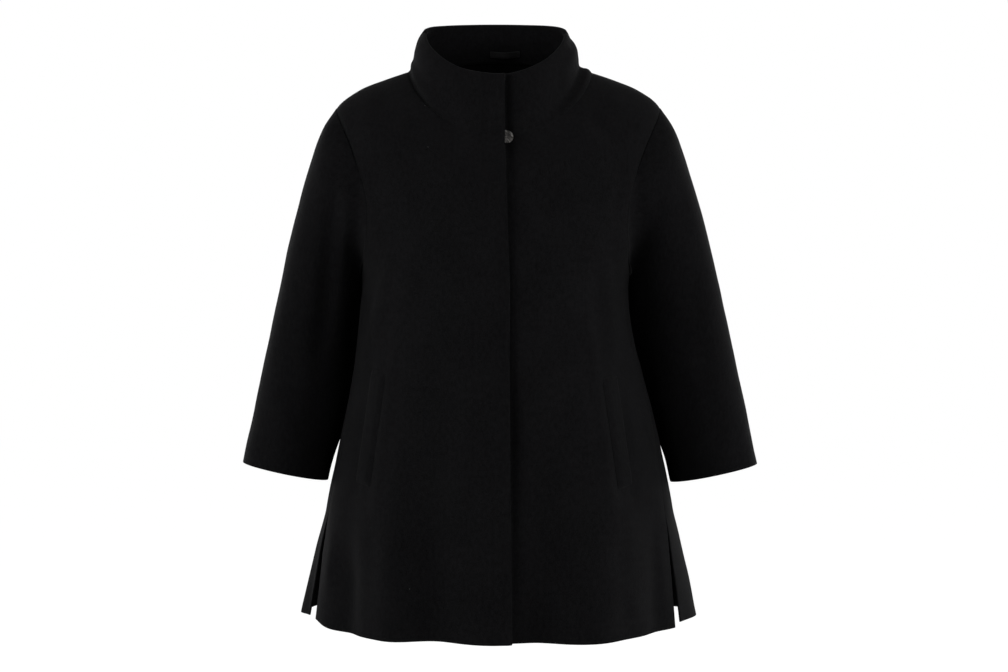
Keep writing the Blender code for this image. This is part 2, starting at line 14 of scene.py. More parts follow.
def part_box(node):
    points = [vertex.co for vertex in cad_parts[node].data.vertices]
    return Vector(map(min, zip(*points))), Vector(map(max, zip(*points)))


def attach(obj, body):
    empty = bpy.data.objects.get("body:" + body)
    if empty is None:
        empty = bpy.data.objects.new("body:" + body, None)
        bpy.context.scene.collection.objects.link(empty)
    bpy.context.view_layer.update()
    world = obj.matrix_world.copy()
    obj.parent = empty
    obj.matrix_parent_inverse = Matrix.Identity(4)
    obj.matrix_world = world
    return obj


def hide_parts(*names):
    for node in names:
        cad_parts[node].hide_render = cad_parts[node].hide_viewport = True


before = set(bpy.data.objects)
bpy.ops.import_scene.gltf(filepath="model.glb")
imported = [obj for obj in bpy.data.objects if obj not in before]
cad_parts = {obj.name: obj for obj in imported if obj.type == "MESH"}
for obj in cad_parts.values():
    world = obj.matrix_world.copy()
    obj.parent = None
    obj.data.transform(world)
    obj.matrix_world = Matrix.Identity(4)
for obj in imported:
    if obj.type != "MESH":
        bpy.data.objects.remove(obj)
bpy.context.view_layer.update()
bpy.ops.object.select_all(action="DESELECT")

# %% [markdown]
# ## The camera
# The photograph was taken level with the coat's middle, from some way off, so there is hardly any
# perspective. A long lens 2.5 m in front of the coat gives the same view.

# %% Camera
CAMERA_PLACE = (0.0075, -2.5, -0.356)
CAMERA_LENS = 65.65
bpy.ops.object.camera_add(location=CAMERA_PLACE, rotation=(np.pi / 2, 0.0, 0.0))
camera = bpy.context.object
camera.data.sensor_width = 36.0
camera.data.lens = CAMERA_LENS
bpy.context.scene.camera = camera
print("camera at", CAMERA_PLACE, "lens", CAMERA_LENS)

# %% [markdown]
# ## Rings of the body
# A coat's body is a tube of cloth. It is described here by rings, from the neck seam down to the hem:
# how wide each is at the side, how deep at the front and back, and how high it lies. Between the rings
# a smooth curve fills in, so a short table gives a whole flowing shape.

# %% Ring tables
Ring = namedtuple("Ring", "name centre_x side_x chest_x side_z "
                          "front_y front_z front_bend back_y back_z back_bend")
TORSO = (
    Ring("neck", 0.0, 0.1250, 0.1250, 0.003, -0.1040, -0.0950, 1.3, 0.072, 0.0290, 2.0),
    Ring("shoulder_inner", 0.0, 0.1580, 0.1420, -0.008, -0.1105, -0.1110, 1.4, 0.090, 0.0150, 2.0),
    Ring("shoulder_outer", 0.0, 0.1900, 0.1580, -0.022, -0.1175, -0.1285, 1.5, 0.103, -0.0030, 2.0),
    Ring("shoulder_tip", 0.0, 0.2205, 0.1720, -0.047, -0.1255, -0.1500, 1.7, 0.114, -0.0270, 2.0),
    Ring("armhole_high", 0.0, 0.2250, 0.1950, -0.090, -0.1335, -0.1750, 1.9, 0.122, -0.0580, 2.0),
    Ring("armhole_middle", -0.0005, 0.2130, 0.2050, -0.165, -0.1455, -0.2245, 2.0, 0.129, -0.1240, 2.0),
    Ring("armhole_low", -0.0022, 0.1935, 0.2030, -0.235, -0.1525, -0.2775, 2.0, 0.131, -0.1930, 2.0),
    Ring("armpit", -0.0035, 0.1820, 0.1940, -0.270, -0.1550, -0.3055, 2.0, 0.131, -0.2295, 2.0),
    Ring("waist", -0.0048, 0.1840, 0.1880, -0.330, -0.1580, -0.3525, 2.0, 0.134, -0.2910, 2.0),
    Ring("hip", -0.0005, 0.1985, 0.1985, -0.415, -0.1630, -0.4250, 2.0, 0.143, -0.3805, 2.0),
    Ring("thigh", 0.0018, 0.2172, 0.2172, -0.500, -0.1700, -0.5040, 2.0, 0.157, -0.4730, 2.0),
    Ring("slit_top", 0.0014, 0.2357, 0.2357, -0.593, -0.1780, -0.5945, 2.0, 0.173, -0.5755, 2.0),
    Ring("skirt", 0.0007, 0.2450, 0.2450, -0.670, -0.1820, -0.6710, 2.0, 0.184, -0.6620, 2.0),
    Ring("hem", 0.0, 0.2515, 0.2515, -0.7435, -0.1840, -0.7460, 2.0, 0.194, -0.7430, 2.0),
)
COLLAR = (
    Ring("base", 0.0000, 0.1250, 0.1250, 0.003, -0.1040, -0.0950, 1.3, 0.072, 0.0290, 2.0),
    Ring("low", -0.0025, 0.1145, 0.1145, 0.014, -0.1015, -0.0740, 1.4, 0.068, 0.0410, 1.5),
    Ring("middle", -0.0038, 0.1100, 0.1100, 0.032, -0.0965, -0.0470, 1.5, 0.064, 0.0580, 1.0),
    Ring("roll", -0.0043, 0.1048, 0.1048, 0.046, -0.0935, -0.0280, 1.35, 0.062, 0.0690, 0.8),
    Ring("rim", -0.0045, 0.0965, 0.0965, 0.057, -0.0890, -0.0110, 1.25, 0.060, 0.0780, 0.6),
)
print(len(TORSO), "body rings,", len(COLLAR), "collar rings")

# %% [markdown]
# ## Folds of the skirt
# A swing coat is cut wider at the hem than at the chest, so the spare cloth hangs in soft folds. Each
# row is one fold: the angle where it starts and where it meets the hem (0 is centre front, 90 the
# wearer's left side), the height where it starts, how far it stands out or in, and its width.

# %% Fold table
Fold = namedtuple("Fold", "top_angle hem_angle top_z rise width")
FOLDS = (
    Fold(-42.0, -31.5, -0.300, 0.012, 8.0),
    Fold(-24.0, -20.0, -0.420, -0.019, 8.5),
    Fold(0.0, 1.0, -0.500, 0.006, 7.0),
    Fold(14.0, 10.5, -0.420, -0.016, 7.5),
    Fold(38.0, 28.0, -0.280, 0.020, 11.0),
    Fold(-58.0, -55.0, -0.480, -0.013, 9.0),
    Fold(62.0, 58.0, -0.500, -0.009, 8.0),
    Fold(118.0, 112.0, -0.420, 0.010, 9.0),
    Fold(136.0, 133.0, -0.400, -0.014, 9.0),
    Fold(158.0, 154.0, -0.360, 0.013, 10.0),
    Fold(180.0, 178.0, -0.420, -0.010, 9.0),
    Fold(200.0, 203.0, -0.340, 0.012, 9.0),
    Fold(221.0, 223.0, -0.420, -0.013, 9.0),
    Fold(240.0, 245.0, -0.440, 0.011, 8.0),
)
print(len(FOLDS), "skirt folds")

# %% [markdown]
# ## From tables to a surface
# The helper below draws a smooth curve through the rows of a table. The class uses it to give the point
# of the coat at any angle round the body and any length down its side, with the folds added on top.
# Each side seam swings forward on its way down to its slit. Below that the back's edge lags behind it,
# stands out a little and is lifted, as it is when a coat hangs open there.

# %% Smooth form
# swing and lag are degrees round the body, lift is metres
Slit = namedtuple("Slit", "swing lag lift")
SLITS = {"right": Slit(13.5, 6.0, 0.012), "left": Slit(20.5, 1.5, 0.009)}
SLIT_FLARE = 0.018
EDGE_FLARE = 0.33


def smooth_curve(stations, values, where):
    """Cubic through a table's values, with the mean of the neighbouring slopes at each row."""
    slopes = np.gradient(values, stations, axis=0)
    left = np.clip(np.searchsorted(stations, where, side="right") - 1, 0, len(stations) - 2)
    span = stations[left + 1] - stations[left]
    step = (where - stations[left]) / span
    rise = values[left + 1] - values[left]
    start = span * slopes[left]
    end = span * slopes[left + 1]
    square = 3 * rise - 2 * start - end
    cubic = start + end - 2 * rise
    return values[left] + step * (start + step * (square + step * cubic))


def ease(amount):
    """0 below 0, 1 above 1, and a soft S between."""
    amount = np.clip(amount, 0.0, 1.0)
    return amount * amount * (3 - 2 * amount)


def unit(vectors):
    return vectors / np.linalg.norm(vectors, axis=-1, keepdims=True)


class Form:
    """A smooth surface through a table of rings. A station is a length down its side line."""

    def __init__(self, rings, folds=()):
        self.columns = {}
        for name in Ring._fields[1:]:
            self.columns[name] = np.array([getattr(ring, name) for ring in rings])
        side_line = np.column_stack((self.columns["side_x"], self.columns["side_z"]))
        lengths = np.linalg.norm(np.diff(side_line, axis=0), axis=1)
        self.stations = np.concatenate(([0.0], np.cumsum(lengths)))
        self.named = {ring.name: station for ring, station in zip(rings, self.stations)}
        self.folds = folds

    def column(self, name, station):
        return smooth_curve(self.stations, self.columns[name], station)

    def down_the_slit(self, station):
        slit_top = self.named["slit_top"]
        return np.clip((station - slit_top) / (self.named["hem"] - slit_top), 0.0, 1.0)

    def fold_rise(self, angle, z):
        rise = np.zeros_like(z)
        hem_z = self.columns["side_z"][-1]
        for fold in self.folds:
            down = (z - fold.top_z) / (hem_z - fold.top_z)
            middle = fold.top_angle + (fold.hem_angle - fold.top_angle) * np.clip(down, 0.0, 1.0)
            away = (angle - middle + 180.0) % 360.0 - 180.0
            rise = rise + fold.rise * ease(down) * np.exp(-(away / fold.width) ** 2)
        return rise

    def point(self, angle, station, half, flared=False):
        """A point of the outer cloth, on the front or the back half. The back panel is flared."""
        angle, station = np.broadcast_arrays(np.asarray(angle, float), np.asarray(station, float))
        sine = np.sin(np.radians(angle))
        cosine = np.cos(np.radians(angle))
        side_x = self.column("side_x", station)
        side_z = self.column("side_z", station)
        depth = np.abs(self.column(f"{half}_y", station))
        centre_z = self.column(f"{half}_z", station)
        bend = self.column(f"{half}_bend", station)
        if flared:
            slit = self.down_the_slit(station)
            forward = np.degrees(np.arcsin(np.clip(cosine, 0.0, 1.0)))
            left, right = SLITS["left"], SLITS["right"]
            to_edge = np.where(sine > 0.0, left.swing - left.lag, right.swing - right.lag)
            side_x = side_x + SLIT_FLARE * slit * (1 - (1 - EDGE_FLARE) * ease(forward / to_edge))
            side_z = side_z + slit * np.where(sine > 0.0, left.lift, right.lift)
        z = side_z + (centre_z - side_z) * np.abs(cosine) ** bend
        out = unit(np.stack((sine * depth, -cosine * side_x, np.zeros_like(z)), axis=-1))
        width = side_x * sine ** 2 + self.column("chest_x", station) * cosine ** 2
        x = self.column("centre_x", station) + width * sine
        spot = np.stack((x, -depth * cosine, z), axis=-1)
        return spot + out * self.fold_rise(angle, z)[..., None]


TORSO_FORM = Form(TORSO, FOLDS)
COLLAR_FORM = Form(COLLAR)
print("neck to hem down the side", round(TORSO_FORM.stations[-1], 3), "m")

# %% [markdown]
# ## Where each panel ends
# A tailor cuts the body as two fronts and a back. Their edges meet at the shoulder and side seams, bend
# in round the armholes, and part again at the side slits. The rows of the cloth are closer together
# along the armhole, where the edge turns fast, and there is a row right beside each raw edge.

# %% Rows and panel edges
SEAM_OVERLAP = 0.0012
FRONT_BITE = 35.0
BACK_BITE = 31.0
LAG_POWER = 0.6
BESIDE_EDGE = 0.0014
EDGE_COLUMN_SHARE = 0.18
SHOULDER_ROWS = 15
ARMHOLE_ROWS = 40
SKIRT_ROWS = 34
SLIT_ROWS = 16


def row_stations():
    """Rows from neck to hem. Those along the armhole are spaced as equal angles round it."""
    named = TORSO_FORM.named
    shoulder = np.linspace(named["neck"], named["shoulder_tip"], SHOULDER_ROWS + 1)
    turn = np.radians(np.linspace(0.0, 180.0, ARMHOLE_ROWS + 1))
    armhole = named["shoulder_tip"] + (named["armpit"] - named["shoulder_tip"]) * (1 - np.cos(turn)) / 2
    skirt = np.linspace(named["armpit"], named["slit_top"], SKIRT_ROWS + 1)
    slit = np.linspace(named["slit_top"], named["hem"], SLIT_ROWS + 1)
    beside = (named["neck"] + BESIDE_EDGE, named["hem"] - BESIDE_EDGE)
    return np.sort(np.concatenate((shoulder[:-1], armhole[:-1], skirt[:-1], slit, beside)))


ROWS = row_stations()


def side_angle(panel, side):
    """Where a panel ends at one side, in degrees from the front: seam, armhole, seam, slit."""
    named = TORSO_FORM.named
    across = 1 - 2 * (ROWS - named["shoulder_tip"]) / (named["armpit"] - named["shoulder_tip"])
    bite = np.sqrt(np.clip(1 - across ** 2, 0.0, 1.0))
    slit = SLITS[side]
    swing = slit.swing * ease((ROWS - named["armpit"]) / (named["slit_top"] - named["armpit"]))
    if panel == "back":
        seam = np.degrees(SEAM_OVERLAP / 2 / TORSO_FORM.column("back_y", ROWS))
        lag = slit.lag * TORSO_FORM.down_the_slit(ROWS) ** LAG_POWER
        return 90.0 - swing - seam + BACK_BITE * bite + lag
    seam = np.degrees(SEAM_OVERLAP / 2 / -TORSO_FORM.column("front_y", ROWS))
    return 90.0 - swing + seam - FRONT_BITE * bite


def spread(first, last, columns, extra=()):
    """Angles of a panel from edge to edge in each row, with extra columns where they are asked for."""
    share = np.linspace(0.0, 1.0, columns + 1)
    beside = EDGE_COLUMN_SHARE / columns
    share = np.sort(np.concatenate((share, (beside, 1.0 - beside), extra)))
    return first[:, None] + (last - first)[:, None] * share[None, :]


print(len(ROWS), "rows of cloth from neck to hem")

# %% [markdown]
# ## The lap
# The coat closes with a hidden row of fastenings: the wearer's right front lies over the left one. The
# over side is lifted by one thickness of cloth, more at the neck, where it rides over the button, and the
# under side sinks back a little. The edge of the lap is a gentle curve down the table below.

# %% Lap table
Lap = namedtuple("Lap", "z edge_x rise")
LAP = (
    Lap(-0.746, 0.0169, 0.0020),
    Lap(-0.500, 0.0152, 0.0020),
    Lap(-0.300, 0.0138, 0.0021),
    Lap(-0.200, 0.0131, 0.0025),
    Lap(-0.130, 0.0120, 0.0052),
    Lap(-0.098, 0.0088, 0.0090),
    Lap(-0.062, 0.0078, 0.0068),
    Lap(0.000, 0.0075, 0.0060),
)
LAP_BLEND_FROM = -0.062
LAP_BLEND_WIDTH = 0.040
UNDER_EDGE_X = -0.035
UNDER_SINK = 0.0026
UNDER_BLEND_FROM = 0.004
UNDER_BLEND_WIDTH = 0.044
LAP_ROLL = 0.0022
LAP_ROLL_INSET = 0.0045
LAP_ROLL_WIDTH = 0.0055
HOLLOW_DEPTH = 0.0012
HOLLOW_OFFSET = 0.0030
HOLLOW_WIDTH = 0.0060
COLLAR_HOLLOW = 0.0018
COLLAR_HOLLOW_FROM = -0.150
COLLAR_HOLLOW_BLEND = 0.050
SKIRT_HOLLOW = 0.0038
SKIRT_HOLLOW_FROM = -0.340
SKIRT_HOLLOW_BLEND = 0.120
SKIRT_HOLLOW_WIDER = 0.0040


def lap_column(name, z):
    heights = np.array([row.z for row in LAP])
    return smooth_curve(heights, np.array([getattr(row, name) for row in LAP]), z)


def lap_rise(x, z):
    """How far the lapping side is raised."""
    return lap_column("rise", z) * ease((x - LAP_BLEND_FROM) / LAP_BLEND_WIDTH)


def under_sink(x):
    """How far the side under the lap lies back."""
    return UNDER_SINK * (1 - ease((x - UNDER_BLEND_FROM) / UNDER_BLEND_WIDTH))


def edge_angle(edge_x):
    aside = edge_x - TORSO_FORM.column("centre_x", ROWS)
    return np.degrees(np.arcsin(aside / TORSO_FORM.column("side_x", ROWS)))


def lap_roll(x, z):
    """The edge of the lapping side is folded over, so it is a little plump."""
    inset = x - lap_column("edge_x", z) + LAP_ROLL_INSET
    return LAP_ROLL * np.exp(-(inset / LAP_ROLL_WIDTH) ** 2)


def lap_hollow(x, z):
    """The under side is pressed in beside the lap, most at the collar and down the skirt."""
    skirt = ease((SKIRT_HOLLOW_FROM - z) / SKIRT_HOLLOW_BLEND)
    at_collar = ease((z - COLLAR_HOLLOW_FROM) / COLLAR_HOLLOW_BLEND)
    depth = HOLLOW_DEPTH + COLLAR_HOLLOW * at_collar + SKIRT_HOLLOW * skirt
    width = HOLLOW_WIDTH + SKIRT_HOLLOW_WIDER * skirt
    return -depth * np.exp(-((x - lap_column("edge_x", z) - HOLLOW_OFFSET) / width) ** 2)


print("lap edge from", LAP[-1].edge_x, "at the neck to", LAP[0].edge_x, "at the hem")

# %% [markdown]
# ## Creases
# Brushed wool is thick, so it makes no sharp wrinkles, only soft troughs and ridges. Each row places one
# by three points seen from the front (x and height), with its rise and width in metres. They are uneven
# on purpose. The back gets a similar set, although no photograph shows it.

# %% Crease table
Crease = namedtuple("Crease", "part face start middle end rise width")
CREASES = (
    # ridges beside the pockets, and the bands that run from them to the hem
    Crease("body", "front", (-0.145, -0.245), (-0.149, -0.315), (-0.188, -0.405), 0.0036, 0.009),
    Crease("body", "front", (-0.128, -0.310), (-0.1450, -0.470), (-0.166, -0.620), 0.0026, 0.007),
    Crease("body", "front", (-0.166, -0.280), (-0.168, -0.330), (-0.178, -0.370), -0.0016, 0.010),
    Crease("body", "front", (0.138, -0.245), (0.146, -0.310), (0.156, -0.395), 0.0036, 0.010),
    Crease("body", "front", (0.114, -0.310), (0.1325, -0.470), (0.154, -0.620), 0.0026, 0.007),
    Crease("body", "front", (0.126, -0.270), (0.130, -0.340), (0.140, -0.400), -0.0014, 0.010),
    Crease("body", "front", (-0.172, -0.545), (-0.176, -0.650), (-0.180, -0.790), 0.0030, 0.013),
    Crease("body", "front", (0.163, -0.540), (0.172, -0.640), (0.182, -0.790), 0.0026, 0.014),
    # the pocket openings outside the welts, and the dents at their ends
    Crease("body", "front", (-0.1665, -0.380), (-0.1795, -0.474), (-0.1920, -0.568), -0.0022, 0.006),
    Crease("body", "front", (0.1550, -0.388), (0.1675, -0.482), (0.1800, -0.575), -0.0022, 0.006),
    Crease("body", "front", (-0.168, -0.392), (-0.166, -0.398), (-0.160, -0.402), -0.0018, 0.006),
    Crease("body", "front", (-0.190, -0.548), (-0.186, -0.554), (-0.178, -0.556), -0.0018, 0.006),
    Crease("body", "front", (0.158, -0.400), (0.153, -0.404), (0.146, -0.406), -0.0020, 0.006),
    Crease("body", "front", (0.178, -0.552), (0.172, -0.557), (0.166, -0.558), -0.0018, 0.006),
    # beside the slits
    Crease("body", "front", (-0.216, -0.600), (-0.222, -0.660), (-0.226, -0.700), 0.0026, 0.008),
    Crease("body", "front", (-0.188, -0.640), (-0.190, -0.690), (-0.196, -0.790), -0.0030, 0.011),
    Crease("body", "front", (0.208, -0.600), (0.214, -0.660), (0.220, -0.740), 0.0022, 0.009),
    # shoulder and chest drags
    Crease("body", "front", (-0.175, -0.120), (-0.158, -0.170), (-0.150, -0.230), -0.0016, 0.012),
    Crease("body", "front", (0.170, -0.110), (0.155, -0.165), (0.147, -0.225), -0.0018, 0.012),
    Crease("body", "front", (-0.110, -0.060), (-0.125, -0.085), (-0.150, -0.120), 0.0014, 0.012),
    Crease("body", "front", (0.118, -0.055), (0.130, -0.080), (0.160, -0.110), -0.0014, 0.010),
    Crease("body", "front", (0.060, -0.330), (0.068, -0.450), (0.080, -0.560), 0.0012, 0.020),
    Crease("body", "front", (-0.060, -0.320), (-0.066, -0.430), (-0.078, -0.560), -0.0012, 0.020),
    # the back
    Crease("body", "back", (-0.140, -0.180), (-0.130, -0.280), (-0.140, -0.400), 0.0030, 0.016),
    Crease("body", "back", (-0.105, -0.240), (-0.098, -0.330), (-0.105, -0.470), -0.0024, 0.016),
    Crease("body", "back", (0.142, -0.170), (0.135, -0.270), (0.146, -0.390), 0.0026, 0.015),
    Crease("body", "back", (0.100, -0.220), (0.096, -0.330), (0.108, -0.480), -0.0022, 0.018),
    Crease("body", "back", (0.000, -0.120), (0.006, -0.300), (0.000, -0.520), -0.0016, 0.022),
    Crease("body", "back", (-0.170, -0.110), (-0.150, -0.150), (-0.120, -0.180), -0.0016, 0.012),
    Crease("body", "back", (0.172, -0.105), (0.150, -0.150), (0.118, -0.185), -0.0018, 0.012),
    # the wearer's left sleeve: a long band down the front, and drags at the elbow
    Crease("left", "front", (0.180, -0.120), (0.186, -0.290), (0.216, -0.490), -0.0075, 0.013),
    Crease("left", "front", (0.250, -0.150), (0.283, -0.310), (0.310, -0.500), 0.0022, 0.013),
    Crease("left", "front", (0.200, -0.300), (0.225, -0.335), (0.262, -0.352), -0.0020, 0.009),
    Crease("left", "front", (0.214, -0.385), (0.240, -0.400), (0.275, -0.398), 0.0016, 0.010),
    Crease("left", "back", (0.215, -0.200), (0.250, -0.340), (0.272, -0.500), -0.0030, 0.014),
    Crease("left", "back", (0.215, -0.340), (0.250, -0.372), (0.295, -0.380), -0.0022, 0.010),
    Crease("left", "back", (0.210, -0.300), (0.245, -0.322), (0.280, -0.320), 0.0016, 0.010),
    # the wearer's right sleeve
    Crease("right", "front", (-0.212, -0.130), (-0.226, -0.260), (-0.242, -0.430), -0.0075, 0.012),
    Crease("right", "front", (-0.196, -0.150), (-0.204, -0.270), (-0.224, -0.430), 0.0036, 0.010),
    Crease("right", "front", (-0.186, -0.120), (-0.186, -0.270), (-0.212, -0.480), -0.0075, 0.011),
    Crease("right", "front", (-0.252, -0.160), (-0.284, -0.320), (-0.312, -0.490), 0.0020, 0.013),
    Crease("right", "front", (-0.202, -0.320), (-0.230, -0.345), (-0.262, -0.350), -0.0016, 0.009),
    Crease("right", "front", (-0.222, -0.410), (-0.245, -0.424), (-0.285, -0.420), 0.0016, 0.010),
    Crease("right", "back", (-0.215, -0.210), (-0.252, -0.340), (-0.270, -0.490), -0.0028, 0.014),
    Crease("right", "back", (-0.212, -0.330), (-0.250, -0.358), (-0.292, -0.362), -0.0022, 0.010),
    Crease("right", "back", (-0.226, -0.420), (-0.260, -0.436), (-0.300, -0.430), 0.0016, 0.010),
)
CREASE_STEPS = 12


def crease_rise(points, part, front_face):
    """Sum of the creases of one part, each strongest along its line and gone at its ends."""
    seen = points[..., (0, 2)]
    total = np.zeros(points.shape[:2])
    for crease in CREASES:
        if crease.part != part:
            continue
        start, middle, end = (np.array(spot) for spot in (crease.start, crease.middle, crease.end))
        nearest = np.full(total.shape, np.inf)
        along = np.zeros(total.shape)
        shares = np.linspace(0.0, 1.0, CREASE_STEPS + 1)[:, None]
        spots = start * (1 - shares) ** 2 + middle * 2 * shares * (1 - shares) + end * shares ** 2
        for step in range(CREASE_STEPS):
            stretch = spots[step + 1] - spots[step]
            share = np.clip((seen - spots[step]) @ stretch / (stretch @ stretch), 0.0, 1.0)
            distance = np.linalg.norm(seen - spots[step] - share[..., None] * stretch, axis=-1)
            closer = distance < nearest
            nearest = np.where(closer, distance, nearest)
            along = np.where(closer, (step + share) / CREASE_STEPS, along)
        sideways = np.exp(-(nearest / crease.width) ** 2)
        faces_it = front_face if crease.face == "front" else ~front_face
        total += crease.rise * sideways * np.sin(np.pi * along) * faces_it
    return total


print(len(CREASES), "hand-placed creases")

# %% [markdown]
# ## Cloth from a flat grid
# Cloth starts flat, so every piece starts as Blender's grid primitive. Its vertices are moved to the
# points worked out above, a Solidify modifier gives it thickness on the inside, and one level of
# Subdivision rounds the cut edges. That is why two pieces that meet show a soft groove at the seam.

# %% Cloth maker
UNEVENNESS = 0.0009
UNEVEN_SCALE = 17.0
FINE_SHARE = 0.5
FINE_SCALE = 2.3


def grid_normals(points, closed):
    """Unit vectors out of a grid whose rows go down and whose columns go to the right."""
    down = np.gradient(points, axis=0)
    if closed:
        right = np.roll(points, -1, axis=1) - np.roll(points, 1, axis=1)
    else:
        right = np.gradient(points, axis=1)
    return unit(np.cross(down, right))


def uneven(points):
    """A slow wobble, because no hand-sewn cloth hangs quite evenly."""
    flat = points.reshape(-1, 3) * UNEVEN_SCALE
    values = [noise.noise(Vector(spot)) + FINE_SHARE * noise.noise(Vector(spot) * FINE_SCALE)
              for spot in flat]
    return UNEVENNESS * np.array(values).reshape(points.shape[:2])


def panel_cut(points):
    """Flat place of each point of a panel in metres: across from the coat's middle, and up the grain."""
    level = points[..., :2]
    across = np.linalg.norm(np.diff(level, axis=1, prepend=level[:, :1]), axis=-1).cumsum(axis=1)
    step = 1 if points[0, -1, 0] > points[0, 0, 0] else -1
    middle = [np.interp(0.0, x[::step], far[::step]) for x, far in zip(points[..., 0], across)]
    reach = np.linalg.norm(level, axis=-1).mean(axis=1, keepdims=True)
    return np.stack((across - np.array(middle)[:, None], points[..., 2] - reach), axis=-1)


def band_cut(points):
    """Flat place of each point of a band or tube: across along its middle row, and down each column."""
    middle = points[len(points) // 2]
    across = np.linalg.norm(np.diff(middle, axis=0, prepend=middle[:1]), axis=-1).cumsum()
    down = np.linalg.norm(np.diff(points, axis=0, prepend=points[:1]), axis=-1).cumsum(axis=0)
    return np.stack((np.broadcast_to(across, down.shape), -down), axis=-1)


def bent_grid(name, points, cut, closed=False):
    """A grid primitive with its vertices moved to the points, and a UV map of their flat places."""
    if closed:
        points = np.concatenate((points, points[:, :1]), axis=1)
    metres = cut(points)
    rows, columns = points.shape[:2]
    bpy.ops.mesh.primitive_grid_add(x_subdivisions=columns - 1, y_subdivisions=rows - 1, size=1.0)
    piece = bpy.context.object
    piece.name = name
    mesh = piece.data
    flat = np.empty(len(mesh.vertices) * 3)
    mesh.vertices.foreach_get("co", flat)
    flat = flat.reshape(-1, 3)
    column = np.rint((flat[:, 0] + 0.5) * (columns - 1)).astype(int)
    row = np.rint((0.5 - flat[:, 1]) * (rows - 1)).astype(int)
    mesh.vertices.foreach_set("co", points[row, column].ravel())
    corners = np.empty(len(mesh.loops), int)
    mesh.loops.foreach_get("vertex_index", corners)
    mesh.uv_layers.active.data.foreach_set("uv", metres[row, column][corners].ravel())
    if closed:
        bpy.ops.object.mode_set(mode="EDIT")
        bpy.ops.mesh.select_all(action="SELECT")
        bpy.ops.mesh.remove_doubles(threshold=1e-5)
        bpy.ops.object.mode_set(mode="OBJECT")
    mesh.update()
    return piece


def make_cloth(name, points, wall, cut=band_cut, closed=False):
    """A piece of cloth of that thickness, whose outer side passes through the points."""
    piece = bent_grid(name, points, cut, closed)
    thicken = piece.modifiers.new("thicken", "SOLIDIFY")
    thicken.thickness = wall
    thicken.offset = -1.0
    soften = piece.modifiers.new("soften", "SUBSURF")
    soften.levels = 1
    soften.render_levels = 1
    for modifier in ("thicken", "soften"):
        bpy.ops.object.modifier_apply(modifier=modifier)
    bpy.ops.object.shade_smooth()
    print(name, len(piece.data.polygons), "faces")
    return piece


# %% [markdown]
# ## The two fronts
# A front is one panel of wool from the shoulder to the hem. The right one runs to the lap's edge, and the
# left one runs on underneath it. Both are spread between their edges row by row, then creased. The
# cloth sinks towards its seams, and the hem's outer corner is lifted a little at the slit.

# %% Fronts
WALL = 0.0025
FRONT_COLUMNS = 70
LAP_COLUMNS = np.array((0.007, 0.012, 0.018, 0.025, 0.043))
UNDER_LAP_SHARE = 0.2
SEAM_DIP = 0.0006
SEAM_WIDTH = 0.0080
NECK_OVERLAP = 0.0030
CORNER_LIFT = {"front_right": 0.009, "front_left": 0.001}
CORNER_WIDTH = 0.032
SLIT_FADE = 0.1


def level_out(points):
    """Outward directions, kept level."""
    out = grid_normals(points, False)
    out[..., 2] = 0.0
    return unit(out)


def creased(points, part, closed=False):
    """The points moved along the cloth's normals by its creases and its unevenness."""
    normals = grid_normals(points, closed)
    rise = crease_rise(points, part, normals[..., 1] < 0.0) + uneven(points)
    return points + rise[..., None] * normals


def seam_dip(points, edge):
    """Cloth sinks a little towards the seam down one of its sides, but not along the open slit."""
    away = np.linalg.norm(points - points[:, edge:][:, :1], axis=-1)
    sewn = 1.0 - TORSO_FORM.down_the_slit(ROWS) ** SLIT_FADE
    dip = SEAM_DIP * np.exp(-(away / SEAM_WIDTH) ** 2) * sewn[:, None]
    return points - dip[..., None] * grid_normals(points, False)


def reach_under_collar(points):
    """The neck edge runs on a few millimetres, out of sight inside the collar."""
    points[0] = points[0] + NECK_OVERLAP * unit(points[0] - points[1])
    return points


def front_points(name):
    if name == "front_left":
        near_lap = UNDER_LAP_SHARE - LAP_COLUMNS
        angles = spread(edge_angle(UNDER_EDGE_X), side_angle("front", "left"), FRONT_COLUMNS, near_lap)
    else:
        edge_x = lap_column("edge_x", TORSO_FORM.column("front_z", ROWS))
        angles = spread(-side_angle("front", "right"), edge_angle(edge_x), FRONT_COLUMNS, 1.0 - LAP_COLUMNS)
    points = TORSO_FORM.point(angles, ROWS[:, None], "front")
    x, z = points[..., 0], points[..., 2]
    if name == "front_left":
        lift = lap_hollow(x, z) - under_sink(x)
    else:
        lift = lap_roll(x, z) + lap_rise(x, z)
    points = creased(points + lift[..., None] * level_out(points), "body")
    side = -1 if name == "front_left" else 0
    points = seam_dip(points, side)
    away = np.linalg.norm(points - points[:, side:][:, :1], axis=-1)
    slit = TORSO_FORM.down_the_slit(ROWS)[:, None]
    points[..., 2] += CORNER_LIFT[name] * slit ** 2 * np.exp(-(away / CORNER_WIDTH) ** 2)
    return angles, reach_under_collar(points)


fronts = {}
front_angles = {}
for name in ("front_right", "front_left"):
    front_angles[name], points = front_points(name)
    fronts[name] = make_cloth(f"wool_{name}", points, WALL, panel_cut)

# %% [markdown]
# ## The back
# The back is a single wide panel. It meets the fronts at the shoulders and sides, and below the slits its
# edges hang free. It is made in the same way as the fronts.

# %% Back
BACK_COLUMNS = 80
back_angles = spread(side_angle("back", "left"), 360.0 - side_angle("back", "right"), BACK_COLUMNS)
behind = (np.cos(np.radians(back_angles)) < 0.0)[..., None]
back_points = np.where(behind, TORSO_FORM.point(back_angles, ROWS[:, None], "back", flared=True),
                       TORSO_FORM.point(back_angles, ROWS[:, None], "front", flared=True))
back_points = creased(back_points, "body")
back_points = reach_under_collar(seam_dip(seam_dip(back_points, 0), -1))
back = make_cloth("wool_back", back_points, WALL, panel_cut)

